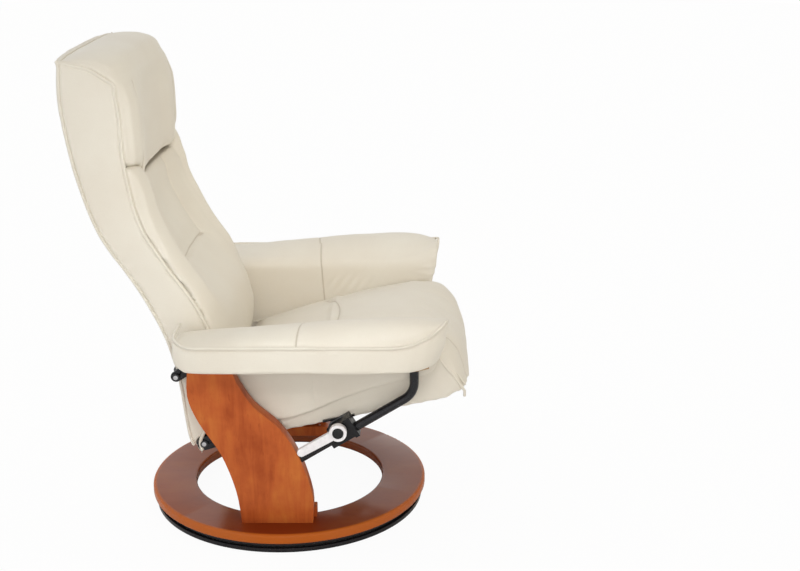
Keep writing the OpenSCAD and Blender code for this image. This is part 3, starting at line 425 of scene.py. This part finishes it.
for node, width in edgeRound.items():
    piece = fromSolid(camelName(node), node)
    if width:
        bevel = piece.modifiers.new("edges", "BEVEL")
        bevel.width = width
        bevel.segments = 2
        bevel.limit_method = "ANGLE"
        bevel.angle_limit = math.radians(38)
        bevel.harden_normals = False
        settle(piece)
    shadeByAngle(piece, 32)
    finishPiece(piece, bodyOf[node], solids[node].data.materials[0], slotOf[node], node)
print("hard parts softened:", len(edgeRound))


# Padded parts

def relax(piece, passes, factor=0.5):
    work = bmesh.new()
    work.from_mesh(piece.data)
    for _ in range(passes):
        bmesh.ops.smooth_vert(work, verts=work.verts[:], factor=factor,
                              use_axis_x=True, use_axis_y=True, use_axis_z=True)
    work.to_mesh(piece.data)
    work.free()


def reskin(piece, size):
    skin = piece.modifiers.new("skin", "REMESH")
    skin.mode = "VOXEL"
    skin.voxel_size = size
    settle(piece)


def inflate(piece, free, look):
    # Cloth under pressure; free(point) is 1 where the leather may swell and 0 where it is held
    points = [v.co.copy() for v in piece.data.vertices]
    shares = [free(p) for p in points]
    normals = [v.normal.copy() for v in piece.data.vertices]
    for vertex, normal, share in zip(piece.data.vertices, normals, shares):
        vertex.co -= normal * look["inset"] * share
    held = piece.vertex_groups.new(name="held")
    for index, share in enumerate(shares):
        held.add([index], 1 - share, "REPLACE")
    cloth = piece.modifiers.new("cloth", "CLOTH")
    cloth.settings.quality = 4
    cloth.settings.mass = 0.4
    cloth.settings.tension_stiffness = look.get("tension", 12)
    cloth.settings.compression_stiffness = look.get("tension", 12)
    cloth.settings.bending_stiffness = look.get("bending", 0.6)
    cloth.settings.vertex_group_mass = "held"
    cloth.settings.use_pressure = True
    cloth.settings.uniform_pressure_force = look["pressure"]
    cloth.settings.effector_weights.gravity = 0
    cloth.point_cache.frame_start, cloth.point_cache.frame_end = 1, 20
    scene = bpy.context.scene
    for step in range(1, 21):
        scene.frame_set(step)
    graph = bpy.context.evaluated_depsgraph_get()
    swollen = [v.co.copy() for v in piece.evaluated_get(graph).data.vertices]
    piece.modifiers.clear()
    scene.frame_set(1)
    for vertex, target, share in zip(piece.data.vertices, swollen, shares):
        move = target - vertex.co
        limit = look["cap"] * share
        if move.length > limit:
            move *= limit / max(move.length, 1e-9)
        vertex.co += move
    piece.vertex_groups.clear()


def carve(piece, shape):
    mesh = piece.data
    normals = [v.normal.copy() for v in mesh.vertices]
    for vertex, normal in zip(mesh.vertices, normals):
        vertex.co = shape(vertex.co.copy(), normal)


def pad(name, nodes, look, free, shape, material):
    piece = fromSolid(name, *nodes)
    reskin(piece, look["voxel"])
    relax(piece, look["relax"])
    if look["pressure"]:
        inflate(piece, free, look)
        relax(piece, 2)
    if look["subdivide"]:
        finer = piece.modifiers.new("finer", "SUBSURF")
        finer.levels = finer.render_levels = 1
        settle(piece)
    carve(piece, shape)
    shadeByAngle(piece, 180)
    finishPiece(piece, bodyOf[nodes[0]], material, "leather", *nodes)
    print("padded:", name, len(piece.data.polygons))
    return piece


# The back's rear line, from the tail up: x, z and thickness
backLine = [
    (-0.160, 0.194, 0.002), (-0.184, 0.222, 0.022), (-0.197, 0.285, 0.063), (-0.210, 0.372, 0.091),
    (-0.237, 0.467, 0.092), (-0.288, 0.570, 0.079), (-0.349, 0.671, 0.089), (-0.387, 0.789, 0.103),
    (-0.407, 0.895, 0.117), (-0.4105, 0.950, 0.114), (-0.4085, 0.983, 0.111), (-0.405, 1.006, 0.072),
    (-0.404, 1.013, 0.005)]
backTop = len(backLine) - 1
seatHalf, backHalf = 0.2345, 0.248
panel = {"half": 0.116, "foot": 0.582}
pillow = {"fold": 0.775, "wing": 0.190}


def backPlace(t, forward=None):
    a, b = alongPoints(backLine, max(0, t - 0.02)), alongPoints(backLine, min(backTop, t + 0.02))
    run = Vector((b[0] - a[0], b[1] - a[1])).normalized()
    x, z, thick = alongPoints(backLine, t)
    depth = thick if forward is None else forward
    return Vector((x + run.y * depth, z - run.x * depth))


def backWide(t):
    return seatHalf + (backHalf - seatHalf) * ease((alongPoints(backLine, t)[1] - 0.520) / 0.120)


backSamples = [(t / 20, backPlace(t / 20, 0)) for t in range(0, 20 * backTop + 1)]


def backDepth(point):
    # How far a point lies in front of the rear line, and the line's own place there
    best = min(backSamples, key=lambda s: (s[1].x - point.x) ** 2 + (s[1].y - point.z) ** 2)
    return (Vector((point.x, point.z)) - best[1]).length, best[0]


def wander(point, scale, depth, seed=0.0):
    return noise.noise(Vector((point.x * scale + seed, point.y * scale, point.z * scale))) * depth


def panelSeams(co):
    # Share of the sewn line round the back's centre panel at a point
    inside = ease((co.z - 0.584) / 0.010)
    sides = crease(abs(co.y) - panel["half"], 0.0060) * inside
    lower = crease(co.z - panel["foot"] - 0.008 * (co.y / panel["half"]) ** 2, 0.0048) * (
        1 - ease((abs(co.y) - 0.112) / 0.012))
    pull = 0.0
    for side in (-1, 1):
        dy, dz = co.y - side * 0.119, co.z - 0.588
        pull += 0.7 * crease(dy * 0.55 * side + dz * 0.83, 0.005) * hill(dy, 0.022) * hill(dz, 0.026)
    return max(sides, lower), pull


def centreShare(co):
    return 1 - ease((abs(co.y) - 0.108) / 0.098)


def backHollow(co):
    # The centre of the back lies deeper than the bolsters beside it
    return centreShare(co) * ease((co.z - 0.470) / 0.115) * (0.029 - 0.011 * ease((co.z - 0.583) / 0.190))


def pillowDrop(co):
    # The pillow hangs lower between its wings
    wing = ease((abs(co.y) - 0.182) / 0.016)
    rise = 0.005 + 0.007 * ease((abs(co.y) - 0.190) / 0.035)
    return (wing * rise - 0.034 * (1 - wing)) * hill(co.z - pillow["fold"], 0.085)


def shapeBack(co, normal):
    facing = ease((normal.x + 0.1) / 0.4)
    line, pull = panelSeams(co)
    bolster = ease((abs(co.y) - 0.165) / 0.030) * (1 - ease((abs(co.y) - 0.231) / 0.012)) * (
        ease((co.z - 0.490) / 0.080) * (1 - ease((co.z - 0.735) / 0.035)))
    push = (0.006 * bolster - 0.0062 * line - 0.0025 * pull + wander(co, 22, 0.0012)
            + wander(co, 7, 0.0020, 3))
    moved = co + normal * push * facing
    moved.x -= backHollow(co) * facing
    moved.z += pillowDrop(co) + 0.0025 * hill(co.z - 0.770, 0.010)
    return moved


def shapePillow(co, normal):
    facing = ease((normal.x + 0.6) / 0.5)
    wing = crease(abs(co.y) - pillow["wing"], 0.0050) * ease((co.z - pillow["fold"]) / 0.01) * (
        1 - ease((co.z - 0.955) / 0.03))
    hollow = (1 - ease((abs(co.y) - 0.085) / 0.110)) * ease((co.z - 0.785) / 0.06) * (
        1 - ease((co.z - 0.930) / 0.07))
    gather = hill(co.z - 0.792, 0.022) * noise.noise(Vector((co.y * 60, 0, co.z * 14 + 2)))
    full = 0.0055 * ease((abs(co.y) - 0.180) / 0.03) * (1 - ease((co.z - 0.930) / 0.05))
    full += 0.0030 * ease((co.z - 0.985) / 0.02) * ease((co.x + 0.390) / 0.03)
    full *= 1 - ease((abs(co.y) - 0.230) / 0.012)
    push = (full - 0.0022 * wing - 0.017 * hollow + 0.0016 * gather + wander(co, 16, 0.0007, 5)
            + wander(co, 6, 0.0020, 9))
    moved = co + normal * push * facing
    moved.x -= 0.018 * centreShare(co) * hill(co.z - 0.770, 0.040) * facing
    moved.z += pillowDrop(co) - 0.0025 * hill(co.z - 0.780, 0.010)
    return moved


def freeBack(point):
    depth, t = backDepth(point)
    thick = alongPoints(backLine, t)[2]
    centre = 1 - ease((abs(point.y) - 0.106) / 0.082)
    held = max(hill(point.z - pillow["fold"], 0.036), 0.85 * centre * ease((point.z - 0.500) / 0.085))
    inside = ease((backWide(t) - abs(point.y) + 0.002) / 0.014)
    return ease((depth - thick * 0.82) / 0.018) * inside * (1 - held)


softPad = {"voxel": 0.0060, "relax": 3, "inset": 0.004, "pressure": 4.0, "cap": 0.024, "subdivide": True}
padLooks = {
    "backCushion": {**softPad, "pressure": 3.5, "cap": 0.014},
    "headPillow": {**softPad, "pressure": 3.0, "cap": 0.010},
    "seatPad": softPad,
    "armPad": {**softPad, "voxel": 0.0050, "inset": 0.003, "pressure": 3.5, "cap": 0.014},
    "backShell": {"voxel": 0.0045, "relax": 5, "pressure": 0, "subdivide": False}}

backLeather = leatherFinish("backLeather", [
    {"axis": "y", "at": panel["half"], "both": True, "within": [("z", 0.590, 0.770)]},
    {"axis": "z", "at": 0.583, "within": [("Y", -0.01, 0.114)]}])
pillowLeather = leatherFinish("pillowLeather", [
    {"axis": "y", "at": pillow["wing"], "both": True, "within": [("z", 0.778, 0.972)]}])
pad("backCushion", ["back_cushion"], padLooks["backCushion"], freeBack, shapeBack, backLeather)
pad("headPillow", ["head_pillow"], padLooks["headPillow"], freeBack, shapePillow, pillowLeather)


def shapeShell(co, normal):
    # The upper lip is drawn up under the piping
    lip = (0.003 + 0.007 * (1 - (co.y / backHalf) ** 4)) * ease((co.z - 0.975) / 0.03)
    return co + normal * (wander(co, 9, 0.0012, 2) + wander(co, 26, 0.0005, 4)) + Vector((0, 0, lip))


shell = pad("backShell", ["back_shell"], padLooks["backShell"], None, shapeShell, finishes["leather"])


# Seat
seatTop = [(-0.095, 0.330), (0.0, 0.354), (0.100, 0.384), (0.200, 0.408), (0.285, 0.421), (0.331, 0.410)]
seatFront = [(0.331, 0.410), (0.347, 0.386), (0.366, 0.362), (0.383, 0.337)]


def seatEdgeHeight(x):
    for (x0, z0), (x1, z1) in zip(seatTop, seatTop[1:]):
        if x <= x1:
            return z0 + (z1 - z0) * (x - x0) / (x1 - x0)
    return 0.410 - (x - 0.331) * 1.45


def freeSeat(point):
    above = point.z - seatEdgeHeight(point.x)
    return ease((above + 0.004) / 0.016) * ease((seatHalf - abs(point.y) + 0.002) / 0.016)


seatSeam = {"at": 0.119, "bow": 1.15, "border": 0.186}


def shapeSeat(co, normal):
    edge = seatEdgeHeight(co.x)
    upper = ease((co.z - edge + 0.01) / 0.02) * ease((normal.z + normal.x * 0.5 + 0.1) / 0.4)
    off = co.x + seatSeam["bow"] * co.y * co.y - seatSeam["at"]
    across = crease(off, 0.0050) * (1 - ease((abs(co.y) - 0.195) / 0.030))
    border = crease(abs(co.y) - seatSeam["border"], 0.0050) * ease((co.x - 0.02) / 0.03)
    pull = hill(off, 0.030) * hill(abs(co.y) - 0.17, 0.05) * math.sin(co.x * 420 + co.y * 160)
    fill = 0.0055 * hill(co.x - 0.105, 0.010) * (1 - ease((abs(co.y) - 0.190) / 0.03))
    push = (fill - 0.0052 * across - 0.0022 * border + 0.0008 * pull + wander(co, 18, 0.0014, 12)
            + wander(co, 6, 0.003, 15))
    moved = co + normal * push * upper
    # The leather skirt sags a little under the frame's outer edge
    moved.z -= 0.009 * ease((abs(co.y) - 0.185) / 0.030) * ease((edge - co.z - 0.015) / 0.045)
    return moved


seatLeather = leatherFinish("seatLeather", [
    {"axis": "x", "at": seatSeam["at"], "bow": ("y", seatSeam["bow"]),
     "within": [("Y", -0.01, 0.205), ("z", 0.36, 0.50)]},
    {"axis": "y", "at": seatSeam["border"], "both": True,
     "within": [("x", 0.02, 0.50), ("z", 0.34, 0.50)]}])
pad("seatPad", ["seat_cushion"], padLooks["seatPad"], freeSeat, shapeSeat, seatLeather)


# Arms
arm = {"outer": 0.385, "front": 0.346, "rear": -0.190, "round": -0.135, "piping": 0.484, "seam": 0.060}


def armOuter(x):
    if x < arm["round"]:
        return arm["outer"] - 0.040 * (1 - math.sqrt(max(0, 1 - ((arm["round"] - x) / 0.060) ** 2)))
    if x > 0.235:
        past = (x - 0.235) / (arm["front"] - 0.233)
        return arm["outer"] - 0.095 * (1 - math.sqrt(max(0, 1 - past ** 2)))
    return arm["outer"]


def armPiping(x):
    rise = clamp((x - 0.225) / 0.121)
    return arm["piping"] + 0.034 * rise ** 2.3 + 0.008 * ease((-0.155 - x) / 0.035)


def freeArm(point):
    return ease((point.z - armPiping(point.x) + 0.002) / 0.012)


def shapeArm(co, normal):
    y = abs(co.y)
    # A valley under the piping on the outer side, and the seam across the pad
    outside = ease((y - 0.300) / 0.03)
    valley = crease(co.z - armPiping(co.x) + 0.004, 0.0030) * outside
    sewn = 1 - outside * (1 - ease((co.z - armPiping(co.x) + 0.002) / 0.006))
    inward = 1 - ease((y - 0.262) / 0.02)
    lean = 0.075 * (co.z - 0.545) if y < 0.301 else 0.137 * y * y - 0.0123
    across = crease(co.x - arm["seam"] + lean, 0.0030) * sewn
    gather = hill(co.x - 0.325, 0.022) * inward * (noise.noise(Vector((co.x * 20, 0, co.z * 95))))
    pulls = hill(co.x - 0.130, 0.060) * inward * hill(co.z - 0.425, 0.022) * (
        math.sin(co.x * 260 - co.z * 190))
    crown = 0.0028 * ease((normal.z - 0.2) / 0.5) * ease((co.z - armPiping(co.x) - 0.02) / 0.03)
    push = (crown - 0.0022 * valley - 0.0012 * across + 0.0022 * gather + 0.0012 * pulls
            + wander(co, 9, 0.0022, 21) + wander(co, 24, 0.0007, 25))
    return co + normal * push


armLeather = leatherFinish("armLeather", [
    {"axis": "x", "at": arm["seam"] + 0.0409, "slant": ("z", 0.075),
     "within": [("z", 0.25, 0.60), ("Y", 0.20, 0.2425)]},
    {"axis": "x", "at": arm["seam"] + 0.0409, "slant": ("z", 0.075),
     "within": [("z", 0.45, 0.60), ("Y", 0.24, 0.302)]},
    {"axis": "x", "at": arm["seam"] + 0.0123, "bow": ("y", 0.137),
     "within": [("z", 0.45, 0.60), ("Y", 0.30, 0.352)]},
    {"axis": "x", "at": arm["seam"] + 0.0123, "bow": ("y", 0.137),
     "within": [("z", 0.486, 0.60), ("Y", 0.35, 0.40)]}])
rightArm = pad("rightArmPad", ["right_arm_cushion", "right_side_panel"], padLooks["armPad"], freeArm,
               shapeArm, armLeather)


def mirrored(piece, name, *nodes):
    mesh = piece.data.copy()
    mesh.transform(Matrix.Scale(-1, 4, (0, 1, 0)))
    mesh.flip_normals()
    twin = bpy.data.objects.new(name, mesh)
    bpy.context.collection.objects.link(twin)
    finishPiece(twin, bodyOf[nodes[0]], piece.data.materials[0], "leather", *nodes)
    return twin


mirrored(rightArm, "leftArmPad", "left_arm_cushion", "left_side_panel")


# Piping

def welt(name, body, points, radius):
    line = bpy.data.curves.new(name, "CURVE")
    line.dimensions = "3D"
    line.bevel_depth = radius
    line.bevel_resolution = 2
    line.use_fill_caps = True
    spline = line.splines.new("POLY")
    spline.points.add(len(points) - 1)
    for mark, point in zip(spline.points, points):
        mark.co = (*point, 1)
    drawn = bpy.data.objects.new(name, line)
    bpy.context.collection.objects.link(drawn)
    graph = bpy.context.evaluated_depsgraph_get()
    mesh = bpy.data.meshes.new_from_object(drawn.evaluated_get(graph))
    bpy.data.objects.remove(drawn)
    piece = bpy.data.objects.new(name, mesh)
    bpy.context.collection.objects.link(piece)
    for face in mesh.polygons:
        face.use_smooth = True
    finishPiece(piece, body, finishes["leather"], "leather")
    return piece


def bothSides(points):
    return [(p[0], -p[1], p[2]) for p in points]


def evened(points, passes):
    for _ in range(passes):
        inner = [(a + b * 2 + c) / 4 for a, b, c in zip(points, points[1:], points[2:])]
        points = points[:1] + inner + points[-1:]
    return points


def laidOn(piece, points, lift):
    # The points dropped onto a piece's skin, lifted along its normal and evened out
    mesh = piece.data
    skin = BVHTree.FromPolygons([v.co for v in mesh.vertices], [f.vertices for f in mesh.polygons])
    laid = []
    for point in points:
        place, normal, _, _ = skin.find_nearest(Vector(point))
        laid.append(place + normal * lift)
    return evened(laid, 3)


pipingSize = {"back": 0.0037, "arm": 0.0032, "seat": 0.0029, "rear": 0.0034}


def backPiping(side):
    path = []
    for step in range(6, 20 * backTop + 1):
        t = step / 20
        spot = backPlace(t)
        path.append(Vector((spot.x + 0.001, side * (backWide(t) - 0.0020), spot.y)))
    return evened(path, 10)


topEdge = []
for step in range(0, 41):
    y = -backHalf + 2 * backHalf * step / 40
    spot = backPlace(backTop)
    topEdge.append(Vector((spot.x + 0.001, y * 0.99, spot.y + 0.008 * (1 - (y / backHalf) ** 4))))
welt("backPiping", "back", backPiping(-1) + topEdge[1:-1] + backPiping(1)[::-1], pipingSize["back"])


def armWelt():
    rear = [(arm["rear"] + 0.050 * (1 - math.sin(math.radians(s))), 0.335 + 0.050 * math.cos(math.radians(s)))
            for s in range(90, -1, -9)]
    path = [(arm["rear"], 0.262 + 0.073 * s / 8) for s in range(8)] + rear
    path += [(arm["round"] + 0.370 * s / 40, arm["outer"]) for s in range(41)]
    path += [(x, armOuter(x)) for x in [0.235 + 0.111 * math.sin(math.radians(s)) for s in range(6, 90, 6)]]
    points = [(x, y, armPiping(x)) for x, y in path]
    lowest = points[-1]
    for s in range(1, 13):  # down the inner front edge
        points.append((arm["front"] - 0.016 * ease(s / 12), lowest[1] - 0.035 * s / 12,
                       lowest[2] - 0.085 * s / 12))
    return points


armPath = armWelt()
welt("leftArmPiping", "swivel_frame", armPath, pipingSize["arm"])
welt("rightArmPiping", "swivel_frame", bothSides(armPath), pipingSize["arm"])


def seatWelt():
    path = [alongPoints(seatTop, s / 8) for s in range(0, 41)]
    path += [alongPoints(seatFront, s / 6) for s in range(1, 19)]
    points = []
    for x, z in path:
        out = 0.001 + 0.0025 * ease((x - 0.340) / 0.02)
        points.append((x + out, seatHalf - 0.002 + 0.003 * ease((x - 0.340) / 0.01), z + 0.001))
    return points + [(0.3865, seatHalf, 0.326)]


seatPath = seatWelt()
welt("leftSeatPiping", "seat", seatPath, pipingSize["seat"])
welt("rightSeatPiping", "seat", bothSides(seatPath), pipingSize["seat"])
secondPath = [(x + 0.006, y - 0.008, z + 0.004) for x, y, z in seatPath[:-3]]
welt("leftSeatSecondPiping", "seat", secondPath, pipingSize["seat"] * 0.8)
welt("rightSeatSecondPiping", "seat", bothSides(secondPath), pipingSize["seat"] * 0.8)
rearPath = []
for step in range(14, 20 * backTop - 1):
    t = step / 20
    spot = backPlace(t, -0.006)
    rearPath.append((spot.x, backWide(t) + 0.006, spot.y))
rearPath = laidOn(shell, rearPath, 0.0016)
welt("leftRearPiping", "back", rearPath, pipingSize["rear"])
welt("rightRearPiping", "back", bothSides(rearPath), pipingSize["rear"])
print("piping made")


# Stage, light and camera

def stageFinish(name, white, share):
    material = bpy.data.materials.new(name)
    material.use_nodes = True
    tree = material.node_tree
    tree.nodes.clear()
    wire = Wire(tree)
    seen = wire.node("LightPath")
    lit = wire.node("BsdfDiffuse", None, {"Color": (white, white, white, 1)})
    shown = wire.node("Emission", None, {"Color": (1, 1, 1, 1), "Strength": 1.0})
    both = wire.node("MixShader", None, {0: seen * share, 1: lit, 2: shown})
    out = tree.nodes.new("ShaderNodeOutputMaterial")
    tree.links.new(both.socket, out.inputs["Surface"])
    return material


work = bmesh.new()
bmesh.ops.create_circle(work, cap_ends=True, segments=96, radius=14)
floorMesh = bpy.data.meshes.new("floor")
work.to_mesh(floorMesh)
work.free()
floor = bpy.data.objects.new("floor", floorMesh)
floor.location.z = -0.0004
bpy.context.collection.objects.link(floor)
floorMesh.materials.append(stageFinish("paleFloor", 0.94, 0.95))

world = bpy.data.worlds.new("studio")
bpy.context.scene.world = world
world.use_nodes = True
# The camera sees white; the object is lit by a dimmer sky, warmer from the front of the chair
sky = Wire(world.node_tree)
shown = sky.node("LightPath")
heading = sky.node("SeparateXYZ", None, {0: sky.node("TexCoord")})
tint = sky.node("Mix", {"data_type": "RGBA"}, {
    0: heading.step(-0.2, 0.9), 6: (0.82, 0.82, 0.82, 1), 7: (0.74, 0.69, 0.59, 1)}, output=2)
backdrop = world.node_tree.nodes["Background"]
sky.node("Mix", {"data_type": "RGBA"}, {0: shown, 6: tint, 7: (1, 1, 1, 1)}, output=2).feeds(
    backdrop.inputs["Color"])

lamps = {
    "key": {"at": (-0.4, -3.1, 1.90), "to": (0, 0, 0.5), "power": 5.4, "size": 2.0, "spread": 180},
    "low": {"at": (0.3, -3.0, 0.34), "to": (0, 0, 0.3), "power": 8.6, "size": 1.0, "spread": 180},
    "seat": {"at": (0.30, -1.50, 1.42), "to": (0.04, 0.30, 0.48), "power": 0.66, "size": 0.4, "spread": 46}}
for name, lamp in lamps.items():
    light = bpy.data.lights.new(name, "AREA")
    light.energy = lamp["power"]
    light.size = lamp["size"]
    light.spread = math.radians(lamp["spread"])
    holder = bpy.data.objects.new(name, light)
    holder.location = lamp["at"]
    holder.rotation_euler = (Vector(lamp["to"]) - Vector(lamp["at"])).to_track_quat("-Z", "Y").to_euler()
    bpy.context.collection.objects.link(holder)

shot = {"at": (0.253, -2.7373, 1.3346), "down": 17.09, "lens": 58.5}
lensData = bpy.data.cameras.new("camera")
lensData.lens = shot["lens"]
lensData.sensor_width = 36
lensData.clip_end = 60
camera = bpy.data.objects.new("camera", lensData)
camera.location = shot["at"]
camera.rotation_euler = (math.radians(90 - shot["down"]), 0, 0)
bpy.context.collection.objects.link(camera)
bpy.context.scene.camera = camera
bpy.context.scene.view_settings.view_transform = "Standard"
print("stage, light and camera set")
